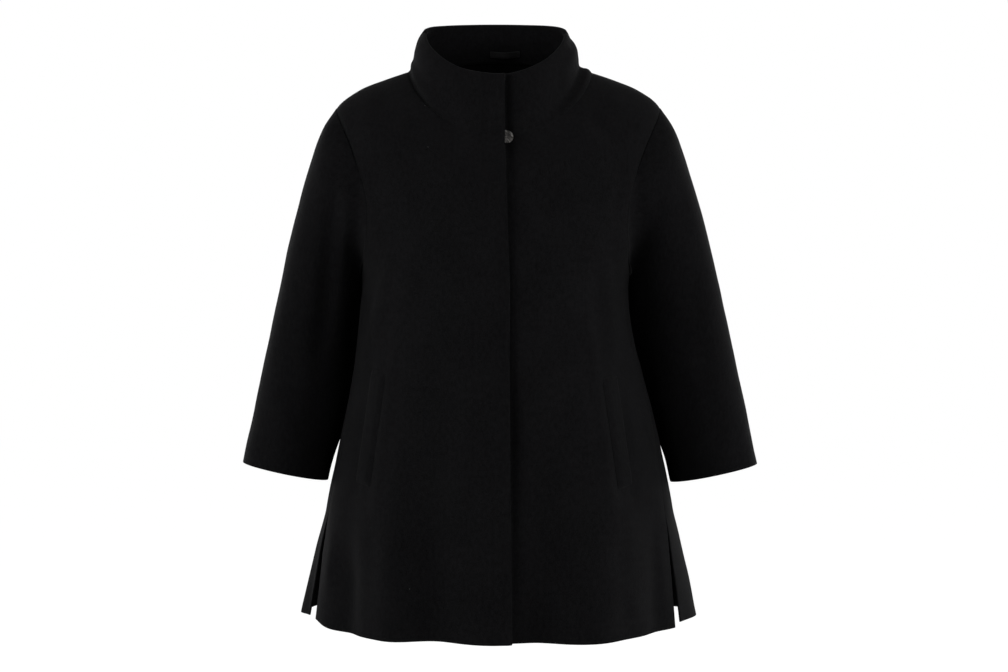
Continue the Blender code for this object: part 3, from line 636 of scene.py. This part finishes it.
# %% [markdown]
# ## The sleeves
# A set-in sleeve starts at the armhole seam and closes into a tube. The first ring follows the panels'
# edges, turning sharply under the arm, where the cloth folds back on itself. Below it, slanted ovals
# lead down to the cuff. The other sleeve is the mirror image with creases of its own.

# %% Sleeves
Oval = namedtuple("Oval", "outer_x outer_y outer_z inner_x inner_y inner_z half_depth")
LEFT_SLEEVE = (
    Oval(0.2405, -0.008, -0.083, 0.1792, 0.026, -0.290, 0.0790),
    Oval(0.2655, -0.010, -0.157, 0.1764, 0.046, -0.320, 0.0780),
    Oval(0.2872, -0.009, -0.239, 0.1794, 0.055, -0.357, 0.0740),
    Oval(0.3062, -0.006, -0.321, 0.1915, 0.053, -0.408, 0.0690),
    Oval(0.3240, -0.003, -0.402, 0.2080, 0.041, -0.463, 0.0640),
    Oval(0.3420, 0.000, -0.484, 0.2262, 0.026, -0.516, 0.0595),
    Oval(0.3515, 0.002, -0.529, 0.2360, 0.020, -0.5555, 0.0570),
)
RIGHT_SLEEVE = (
    Oval(0.2405, -0.008, -0.083, 0.1884, 0.015, -0.290, 0.0790),
    Oval(0.2645, -0.010, -0.157, 0.1870, 0.035, -0.320, 0.0780),
    Oval(0.2850, -0.009, -0.239, 0.1888, 0.046, -0.357, 0.0740),
    Oval(0.3026, -0.006, -0.321, 0.1948, 0.046, -0.408, 0.0690),
    Oval(0.3200, -0.003, -0.402, 0.2075, 0.036, -0.463, 0.0640),
    Oval(0.3380, 0.000, -0.484, 0.2245, 0.026, -0.516, 0.0595),
    Oval(0.3475, 0.002, -0.527, 0.2335, 0.020, -0.553, 0.0570),
)
SLEEVE_ROWS = 56
ARMHOLE_OVERLAP = 1.010
INNER_TUCK = 0.0068
TUCKED_OVALS = 5.0
END_ROW_SHARE = 0.2
CREASES_FULL_AFTER = 1 / 22.0


def armhole_ring(side):
    """A ring just under the panels' armhole edges, from the shoulder round the front."""
    named = TORSO_FORM.named
    first = np.argmin(np.abs(ROWS - named["shoulder_tip"]))
    last = np.argmin(np.abs(ROWS - named["armpit"]))
    front = np.column_stack((side_angle("front", "left"), ROWS))[first:last + 1]
    behind = np.column_stack((side_angle("back", "left"), ROWS))[first + 1:last][::-1]
    front[0, 0] = 90.0
    front[-1, 0] = 90.0
    ring = np.concatenate((TORSO_FORM.point(front[:, 0] * side, front[:, 1], "front"),
                           TORSO_FORM.point(behind[:, 0] * side, behind[:, 1], "back")))
    return ring.mean(axis=0) + (ring - ring.mean(axis=0)) * ARMHOLE_OVERLAP


def sleeve_points(ovals, side):
    """Points of a sleeve from the armhole seam to the cuff. Side is 1 for the wearer's left."""
    rings = [armhole_ring(side)]
    turn = np.linspace(0.0, 2 * np.pi, len(rings[0]), endpoint=False)[:, None]
    level = np.array((0.0, 1.0, 0.0))
    for number, oval in enumerate(ovals):
        tuck = INNER_TUCK * (1.0 - ease(number / TUCKED_OVALS))
        outer = np.array((oval.outer_x * side, oval.outer_y, oval.outer_z))
        inner = np.array(((oval.inner_x - tuck) * side, oval.inner_y, oval.inner_z))
        across = np.cos(turn) * (outer - inner) / 2
        rings.append((outer + inner) / 2 + across - np.sin(turn) * oval.half_depth * level)
    numbers = np.arange(len(rings), dtype=float)
    where = np.linspace(0.0, numbers[-1], SLEEVE_ROWS + 1)
    beside = where[1] * END_ROW_SHARE
    where = np.sort(np.append(where, (beside, where[-1] - beside)))
    return np.array([smooth_curve(numbers, np.array(rings), spot) for spot in where])


left_points = sleeve_points(LEFT_SLEEVE, 1)[:, ::-1]
right_points = sleeve_points(RIGHT_SLEEVE, -1)
seam_share = ease(np.linspace(0.0, 1.0 / CREASES_FULL_AFTER, len(left_points)))[:, None, None]
sleeves = {}
for side, points in (("left", left_points), ("right", right_points)):
    worn = points + (creased(points, side, closed=True) - points) * seam_share
    away = np.linalg.norm(worn - worn[:1], axis=-1)
    dip = SEAM_DIP * np.exp(-(away / SEAM_WIDTH) ** 2)
    worn = worn - dip[..., None] * grid_normals(worn, True)
    sleeves[side] = make_cloth(f"wool_sleeve_{side}", worn, WALL, closed=True)

# %% [markdown]
# ## The collar
# The stand collar is a band of double cloth that leans in towards the neck, so it is thicker than the rest
# and its rim is rounder. Its ends lap as the fronts do. On the wearer's left it has sagged into a soft
# groove and bulge above the neck seam, and the other side shows the same more faintly.

# %% Collar
COLLAR_WALL = 0.0060
COLLAR_OVERLAP = 0.0030
COLLAR_ROWS = 20
COLLAR_EDGE_ROW = 0.02
LAP_LEAN = 0.0005
LAP_SHIFT_WIDTH = 0.060
SAG_FULLNESS = 0.7
Sag = namedtuple("Sag", "from_angle to_angle from_height to_height rise width")
SAGS = (
    Sag(16.0, 112.0, 0.06, 0.26, -0.0048, 0.080),
    Sag(24.0, 104.0, -0.04, 0.10, 0.0030, 0.070),
    Sag(52.0, 100.0, 0.50, 0.64, 0.0018, 0.15),
    Sag(74.0, 106.0, 0.80, 0.80, -0.0022, 0.08),
    Sag(252.0, 340.0, 0.10, 0.00, -0.0034, 0.080),
    Sag(255.0, 325.0, 0.26, 0.18, 0.0026, 0.090),
    Sag(150.0, 205.0, 0.40, 0.44, -0.0016, 0.16),
    Sag(195.0, 250.0, 0.66, 0.60, 0.0014, 0.18),
)


def sag_rise(angles, heights):
    total = np.zeros(np.broadcast(angles, heights).shape)
    for sag in SAGS:
        along = np.clip((angles - sag.from_angle) / (sag.to_angle - sag.from_angle), 0.0, 1.0)
        middle = sag.from_height + (sag.to_height - sag.from_height) * along
        off = np.exp(-((heights - middle) / sag.width) ** 2)
        total += sag.rise * np.sin(np.pi * along) ** SAG_FULLNESS * off
    return total


def collar_points():
    """Points of the collar from its under end round to its lapping end, rim first."""
    left = front_angles["front_left"][0]
    right = front_angles["front_right"][0] + 360.0
    angles = np.concatenate((left[:-2], [90.0], back_angles[0][2:-2], [270.0], right[2:]))
    heights = np.linspace(0.0, 1.0, COLLAR_ROWS + 1)
    heights = np.sort(np.append(heights, COLLAR_EDGE_ROW))[:, None]
    stations = heights * COLLAR_FORM.named["rim"]
    behind = ((angles > 90.0) & (angles < 270.0))[None, :, None]
    points = np.where(behind, COLLAR_FORM.point(angles[None, :], stations, "back"),
                      COLLAR_FORM.point(angles[None, :], stations, "front"))
    x, z = points[..., 0], points[..., 2]
    lift = np.where(angles < 90.0, lap_hollow(x, z) - under_sink(x), 0.0)
    lift = np.where(angles > 270.0, lap_roll(x, z) + lap_rise(x, z), lift)
    neck = TORSO_FORM.point(angles, np.zeros_like(angles), "front")
    step = 0.5
    round_neck = TORSO_FORM.point(angles + step, np.zeros_like(angles), "front") - neck
    neck_out = unit(np.stack((round_neck[:, 1], -round_neck[:, 0], np.zeros(len(angles))), axis=-1))
    points = points + lift[..., None] * neck_out[None, :, :]
    straight = lap_column("edge_x", z[:, -1:]) + LAP_LEAN * heights - x[:, -1:]
    points[..., 0] += straight * ease((x + LAP_SHIFT_WIDTH) / LAP_SHIFT_WIDTH) * (angles > 270.0)
    points[0] = points[0] - COLLAR_OVERLAP * unit(points[1] - points[0])
    points = points[::-1]
    rise = sag_rise(angles[None, :], heights[::-1]) + uneven(points)
    return points + rise[..., None] * grid_normals(points, False)


collar = make_cloth("wool_collar", collar_points(), COLLAR_WALL)

# %% [markdown]
# ## The pocket welts
# Each slanted pocket opens behind a welt, a narrow folded strip sewn on the front. Rays from in front of
# the coat find the spots of the panel below it, so the strip follows every fold there. The panel slants
# away, so a strip that looks 22 mm wide from the front is about 35 mm wide along the cloth.

# %% Welts
Welt = namedtuple("Welt", "name panel top_x top_z bottom_x bottom_z")
WELTS = (
    Welt("pocket_welt_right", "front_right", -0.1555, -0.401, -0.1760, -0.5505),
    Welt("pocket_welt_left", "front_left", 0.1440, -0.408, 0.1640, -0.5520),
)
WELT_WIDTH = 0.022
WELT_END_SLOPE = 0.12
WELT_WALL = 0.0030
WELT_OUTER_RISE = 0.0008
WELT_INNER_RISE = 0.0036
WELT_ROLL_FROM = 0.72
WELT_END_SHARE = 0.05
WELT_CELLS = (8, 44)
IN_FRONT_Y = -1.0
FORWARD = Vector((0.0, 1.0, 0.0))


def welt_points(welt):
    """A slanted strip of points that lies on its panel."""
    top = np.array((welt.top_x, welt.top_z))
    bottom = np.array((welt.bottom_x, welt.bottom_z))
    along = unit(bottom - top)
    across = np.array((-along[1], along[0]))
    to_centre = -np.sign(welt.top_x)
    points = np.zeros((WELT_CELLS[1] + 1, WELT_CELLS[0] + 1, 3))
    for row, length_share in enumerate(np.linspace(0.0, 1.0, WELT_CELLS[1] + 1)):
        for column, width_share in enumerate(np.linspace(-0.5, 0.5, WELT_CELLS[0] + 1)):
            slope = WELT_END_SLOPE * WELT_WIDTH * width_share * to_centre
            x, z = top + (bottom - top) * length_share + along * slope + across * WELT_WIDTH * width_share
            _, place, out, _ = fronts[welt.panel].ray_cast((x, IN_FRONT_Y, z), FORWARD)
            inward = 0.5 + width_share * to_centre
            climb = min(inward / WELT_ROLL_FROM, 1.0)
            rise = WELT_OUTER_RISE + (WELT_INNER_RISE - WELT_OUTER_RISE) * climb
            rise = rise * (1.0 - ease((inward - WELT_ROLL_FROM) / (1.0 - WELT_ROLL_FROM)))
            ends = ease(min(length_share, 1.0 - length_share) / WELT_END_SHARE)
            points[row, column] = place + out * rise * ends
    return points


welts = {}
for welt in WELTS:
    welts[welt.name] = make_cloth(f"wool_{welt.name}", welt_points(welt), WELT_WALL)

# %% [markdown]
# ## The button
# One button peeks out from under the lap at the neck. It is turned from a cylinder: the upper face is
# inset and pushed down to leave a raised rim, and a Bevel modifier softens every edge. Four small holes
# are bored with a Boolean. Its place is read from the CAD piece that it stands for.

# %% Button
BUTTON_RADIUS = 0.0086
BUTTON_THICKNESS = 0.0026
BUTTON_TILT = 17.0
BUTTON_RIM = 0.0014
BUTTON_DISH = 0.0006
HOLE_RADIUS = 0.0009
HOLE_OFFSET = 0.0019
DRILL_DEPTH = 0.01
BUTTON_EDGE = 0.00035

bpy.ops.mesh.primitive_cylinder_add(vertices=64, radius=BUTTON_RADIUS, depth=BUTTON_THICKNESS)
button = bpy.context.object
button.name = "horn_button"
bpy.ops.object.mode_set(mode="EDIT")
bpy.ops.mesh.select_all(action="DESELECT")
bpy.ops.object.mode_set(mode="OBJECT")
for face in button.data.polygons:
    face.select = face.normal.z > 0.9
bpy.ops.object.mode_set(mode="EDIT")
bpy.ops.mesh.inset(thickness=BUTTON_RIM, depth=-BUTTON_DISH)
bpy.ops.object.mode_set(mode="OBJECT")
for turn in np.radians((45.0, 135.0, 225.0, 315.0)):
    place = (HOLE_OFFSET * np.cos(turn), HOLE_OFFSET * np.sin(turn), 0.0)
    bpy.ops.mesh.primitive_cylinder_add(vertices=20, radius=HOLE_RADIUS, depth=DRILL_DEPTH,
                                        location=place)
    drill = bpy.context.object
    bore = button.modifiers.new("bore", "BOOLEAN")
    bore.object = drill
    bpy.context.view_layer.objects.active = button
    bpy.ops.object.modifier_apply(modifier="bore")
    bpy.data.objects.remove(drill)
soften = button.modifiers.new("soften", "BEVEL")
soften.width = BUTTON_EDGE
soften.segments = 3
soften.limit_method = "ANGLE"
bpy.ops.object.modifier_apply(modifier="soften")
button_low, button_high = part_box("button")
button.rotation_euler = (np.radians(90.0 - BUTTON_TILT), 0.0, 0.0)
button.location = (button_low + button_high) / 2
button.select_set(True)
bpy.context.view_layer.objects.active = button
bpy.ops.object.transform_apply(location=True, rotation=True, scale=True)
bpy.ops.object.shade_smooth_by_angle(angle=np.radians(40.0))
print("button", len(button.data.polygons), "faces")

# %% [markdown]
# ## The hanger loop
# Inside the back of the neck a short tape is sewn on at both ends, to hang the coat on a hook. Rays from
# the middle of the neck find the collar's inside, and the tape bows away from it between its ends.

# %% Hanger loop
LOOP_CENTRE_X = 0.009
LOOP_LENGTH = 0.041
LOOP_TOP = 0.0405
LOOP_BOTTOM = 0.0325
LOOP_WALL = 0.0015
LOOP_BOW = 0.0100
LYING_GAP = 0.0005
INTO_THE_COAT = Vector((0.0, -0.95, -0.30))
LOOP_CELLS = (4, 40)
loop_points = np.zeros((LOOP_CELLS[0] + 1, LOOP_CELLS[1] + 1, 3))
for column, share in enumerate(np.linspace(-0.5, 0.5, LOOP_CELLS[1] + 1)):
    bow = LOOP_BOW * ease(1 - 2 * abs(share))
    for row, height in enumerate(np.linspace(LOOP_TOP, LOOP_BOTTOM, LOOP_CELLS[0] + 1)):
        start = (LOOP_CENTRE_X + share * LOOP_LENGTH, 0.0, height)
        _, place, _, _ = collar.ray_cast(start, FORWARD)
        loop_points[row, column] = place + INTO_THE_COAT * (LYING_GAP + LOOP_WALL + bow)
loop = make_cloth("tape_hanger_loop", loop_points, LOOP_WALL)

# %% [markdown]
# ## Nap and lint
# Brushed wool is felted, so no weave shows. What one sees is the nap: short fibres that lie down the cloth,
# in small clumps, with a speck of lint here and there. One node group makes these from the cloth's own
# UV map in metres, so the nap runs down every piece. It gives a shade, a mask for lint and a bumpy normal.

# %% Nap node group
Layer = namedtuple("Layer", "name stretch detail roughness share")
NAP_LAYERS = (
    Layer("fibres", (1100.0, 420.0, 1.0), 3.0, 0.65, 0.62),
    Layer("clumps", (230.0, 120.0, 1.0), 2.0, 0.55, 0.26),
    Layer("patches", (26.0, 14.0, 1.0), 2.0, 0.5, 0.12),
)
LINT_SCALE = 42.0
LINT_RARITY = 0.80
LINT_SIZE = 0.028
NAP_STRENGTH = 0.45
NAP_HEIGHT = 0.0010

nap = bpy.data.node_groups.new("nap", "ShaderNodeTree")
nap.interface.new_socket("Shade", in_out="OUTPUT", socket_type="NodeSocketFloat")
nap.interface.new_socket("Lint", in_out="OUTPUT", socket_type="NodeSocketFloat")
nap.interface.new_socket("Normal", in_out="OUTPUT", socket_type="NodeSocketVector")


def add_node(tree, kind, **settings):
    node = tree.nodes.new(kind)
    for name, value in settings.items():
        setattr(node, name, value)
    return node


def noise_texture(tree, vector, stretch, detail, roughness):
    """Noise on a vector that is stretched by so many cells a metre each way."""
    mapping = add_node(tree, "ShaderNodeMapping")
    mapping.inputs["Scale"].default_value = stretch
    tree.links.new(vector, mapping.inputs["Vector"])
    texture = add_node(tree, "ShaderNodeTexNoise")
    texture.inputs["Scale"].default_value = 1.0
    texture.inputs["Detail"].default_value = detail
    texture.inputs["Roughness"].default_value = roughness
    tree.links.new(mapping.outputs["Vector"], texture.inputs["Vector"])
    return texture.outputs["Fac"]


def math_node(tree, operation, first, second):
    node = add_node(tree, "ShaderNodeMath", operation=operation)
    for socket, value in zip(node.inputs, (first, second)):
        if isinstance(value, float):
            socket.default_value = value
        else:
            tree.links.new(value, socket)
    return node.outputs["Value"]


cloth_uv = add_node(nap, "ShaderNodeUVMap", uv_map="UVMap").outputs["UV"]
shade = None
for layer in NAP_LAYERS:
    texture = noise_texture(nap, cloth_uv, layer.stretch, layer.detail, layer.roughness)
    weighed = math_node(nap, "MULTIPLY", texture, layer.share)
    shade = weighed if shade is None else math_node(nap, "ADD", shade, weighed)
specks = add_node(nap, "ShaderNodeTexVoronoi", feature="F1")
specks.inputs["Scale"].default_value = LINT_SCALE
nap.links.new(cloth_uv, specks.inputs["Vector"])
chosen = math_node(nap, "GREATER_THAN", specks.outputs["Color"], LINT_RARITY)
small = math_node(nap, "LESS_THAN", specks.outputs["Distance"], LINT_SIZE)
lint = math_node(nap, "MULTIPLY", chosen, small)
bump = add_node(nap, "ShaderNodeBump")
bump.inputs["Strength"].default_value = NAP_STRENGTH
bump.inputs["Distance"].default_value = NAP_HEIGHT
nap.links.new(shade, bump.inputs["Height"])
group_end = add_node(nap, "NodeGroupOutput")
nap.links.new(shade, group_end.inputs["Shade"])
nap.links.new(lint, group_end.inputs["Lint"])
nap.links.new(bump.outputs["Normal"], group_end.inputs["Normal"])
print("nap group", len(nap.nodes), "nodes")

# %% [markdown]
# ## Wool
# Black wool reflects very little straight back, but its fibre tips catch light at a glancing angle, so the
# coat's outline looks paler than its middle. The Principled shader's sheen does just that. The nap's shade
# moves the colour between two near-black greys, and lint adds a few pale dots.

# %% Wool material
WOOL_DARK = (0.0016, 0.0016, 0.0018, 1.0)
WOOL_PALE = (0.0078, 0.0078, 0.0083, 1.0)
LINT_COLOUR = (0.060, 0.060, 0.060, 1.0)


def new_material(name):
    material = bpy.data.materials.new(name)
    material.use_nodes = True
    return material, material.node_tree, material.node_tree.nodes["Principled BSDF"]


def shade_ramp(tree, value, dark, pale, low, high):
    """Colour between two greys as a value goes from low to high."""
    ramp = add_node(tree, "ShaderNodeValToRGB")
    ramp.color_ramp.elements[0].position = low
    ramp.color_ramp.elements[0].color = dark
    ramp.color_ramp.elements[1].position = high
    ramp.color_ramp.elements[1].color = pale
    tree.links.new(value, ramp.inputs["Fac"])
    return ramp.outputs["Color"]


wool, tree, shader = new_material("black_wool")
nap_node = add_node(tree, "ShaderNodeGroup", node_tree=nap)
cloth_colour = shade_ramp(tree, nap_node.outputs["Shade"], WOOL_DARK, WOOL_PALE, 0.34, 0.66)
with_lint = add_node(tree, "ShaderNodeMix", data_type="RGBA")
tree.links.new(nap_node.outputs["Lint"], with_lint.inputs["Factor"])
tree.links.new(cloth_colour, with_lint.inputs["A"])
with_lint.inputs["B"].default_value = LINT_COLOUR
tree.links.new(with_lint.outputs["Result"], shader.inputs["Base Color"])
tree.links.new(nap_node.outputs["Normal"], shader.inputs["Normal"])
shader.inputs["Roughness"].default_value = 0.95
shader.inputs["Specular IOR Level"].default_value = 0.02
shader.inputs["Sheen Weight"].default_value = 0.040
shader.inputs["Sheen Roughness"].default_value = 0.40
print("wool from", WOOL_DARK[:3], "to", WOOL_PALE[:3])

# %% [markdown]
# ## Horn and tape
# The button is dark horn with slanting paler streaks, made by stretching a noise texture one way, under a
# soft gloss. The tape is smoother than the wool and a little paler, with a fine rib across it.

# %% Horn and tape materials
HORN_DARK = (0.018, 0.0172, 0.0165, 1.0)
HORN_PALE = (0.230, 0.219, 0.208, 1.0)
TAPE_DARK = (0.0032, 0.0032, 0.0034, 1.0)
TAPE_PALE = (0.0062, 0.0062, 0.0065, 1.0)

horn, tree, shader = new_material("dark_horn")
coordinates = add_node(tree, "ShaderNodeTexCoord").outputs["Object"]
turned = add_node(tree, "ShaderNodeMapping")
turned.inputs["Rotation"].default_value = (0.0, np.radians(35.0), 0.0)
tree.links.new(coordinates, turned.inputs["Vector"])
streaks = noise_texture(tree, turned.outputs["Vector"], (520.0, 160.0, 90.0), 3.0, 0.6)
tree.links.new(shade_ramp(tree, streaks, HORN_DARK, HORN_PALE, 0.40, 0.66), shader.inputs["Base Color"])
shader.inputs["Roughness"].default_value = 0.32

tape, tree, shader = new_material("black_tape")
tape_uv = add_node(tree, "ShaderNodeUVMap", uv_map="UVMap").outputs["UV"]
ribs = add_node(tree, "ShaderNodeTexWave", wave_type="BANDS", bands_direction="X")
ribs.inputs["Scale"].default_value = 300.0
ribs.inputs["Distortion"].default_value = 0.6
tree.links.new(tape_uv, ribs.inputs["Vector"])
tree.links.new(shade_ramp(tree, ribs.outputs["Fac"], TAPE_DARK, TAPE_PALE, 0.1, 0.9),
               shader.inputs["Base Color"])
shader.inputs["Roughness"].default_value = 0.70
shader.inputs["Specular IOR Level"].default_value = 0.15
shader.inputs["Sheen Weight"].default_value = 0.03
print("horn and tape ready")

# %% [markdown]
# ## Light and floor
# A product photograph on white often has its large soft boxes at the sides, a little in front, so that the
# slopes of black cloth catch the light and its flats stay dark. A weak one above and two behind pick out the
# outline. The white room and the floor are seen by the camera but shed no light of their own, or the black
# would turn grey.

# %% Light and floor
Box = namedtuple("Box", "name place aim size power")
SOFT_BOXES = (
    Box("left_side_box", (-2.3, -0.5, -0.2), (0.0, -0.1, -0.4), 2.2, 43.0),
    Box("right_side_box", (2.3, -0.5, -0.2), (0.0, -0.1, -0.4), 2.2, 50.0),
    Box("left_front_box", (-1.6, -1.95, -0.1), (0.0, -0.1, -0.4), 2.0, 29.5),
    Box("right_front_box", (1.6, -1.95, -0.1), (0.0, -0.1, -0.4), 2.0, 25.0),
    Box("top_box", (0.0, 0.3, 2.2), (0.0, 0.0, -0.2), 1.8, 7.0),
    Box("left_back_box", (-1.7, 1.7, 0.0), (0.0, 0.0, -0.4), 1.8, 38.0),
    Box("right_back_box", (1.7, 1.7, 0.0), (0.0, 0.0, -0.4), 1.8, 38.0),
)
FLOOR_HEIGHT = -1.20
FLOOR_SIZE = 24.0
WHITE = (1.0, 1.0, 1.0, 1.0)

scene = bpy.context.scene
scene.view_settings.view_transform = "Standard"
world = bpy.data.worlds.new("white_room")
world.use_nodes = True
world.node_tree.nodes["Background"].inputs["Color"].default_value = WHITE
world.cycles_visibility.diffuse = False
world.cycles_visibility.glossy = False
scene.world = world
for box in SOFT_BOXES:
    bpy.ops.object.light_add(type="AREA", location=box.place)
    lamp = bpy.context.object
    lamp.name = box.name
    lamp.rotation_euler = (Vector(box.aim) - Vector(box.place)).to_track_quat("-Z", "Y").to_euler()
    lamp.data.size = box.size
    lamp.data.energy = box.power

bpy.ops.mesh.primitive_plane_add(size=FLOOR_SIZE, location=(0.0, 0.0, FLOOR_HEIGHT))
floor = bpy.context.object
floor.name = "floor"
pale, tree, shader = new_material("pale_floor")
shader.inputs["Base Color"].default_value = (0.05, 0.05, 0.05, 1.0)
shader.inputs["Roughness"].default_value = 0.9
shader.inputs["Emission Color"].default_value = WHITE
shader.inputs["Emission Strength"].default_value = 1.0
floor.data.materials.append(pale)
floor.visible_diffuse = False
floor.visible_glossy = False
print(len(SOFT_BOXES), "soft boxes and a floor")

# %% [markdown]
# ## Which piece stands for which
# Every visible piece gets its material, takes the place of its CAD piece and rides on the one body. The
# table also lists the flat size each cloth piece was cut to, and the area of the larger ones.

# %% Materials and places
Part = namedtuple("Part", "piece node slot material flat area")
PARTS = (
    Part(fronts["front_right"], "front_right", "coat_wool", wool, (0.34, 0.80), 0.196),
    Part(fronts["front_left"], "front_left", "coat_wool", wool, (0.34, 0.80), 0.203),
    Part(back, "back", "coat_wool", wool, (0.85, 0.82), 0.454),
    Part(sleeves["left"], "sleeve_left", "coat_wool", wool, (0.48, 0.52), 0.174),
    Part(sleeves["right"], "sleeve_right", "coat_wool", wool, (0.48, 0.52), 0.174),
    Part(collar, "collar", "coat_wool", wool, (0.80, 0.085), 0.048),
    Part(welts["pocket_welt_right"], "pocket_welt_right", "coat_wool", wool, (0.035, 0.152), None),
    Part(welts["pocket_welt_left"], "pocket_welt_left", "coat_wool", wool, (0.035, 0.152), None),
    Part(button, "button", "button_horn", horn, None, None),
    Part(loop, "hanger_loop", "loop_tape", tape, None, None),
)
for part in PARTS:
    part.piece.data.materials.clear()
    part.piece.data.materials.append(part.material)
    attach(part.piece, "root")
    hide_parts(part.node)
    print(part.piece.name, "stands for", part.node)
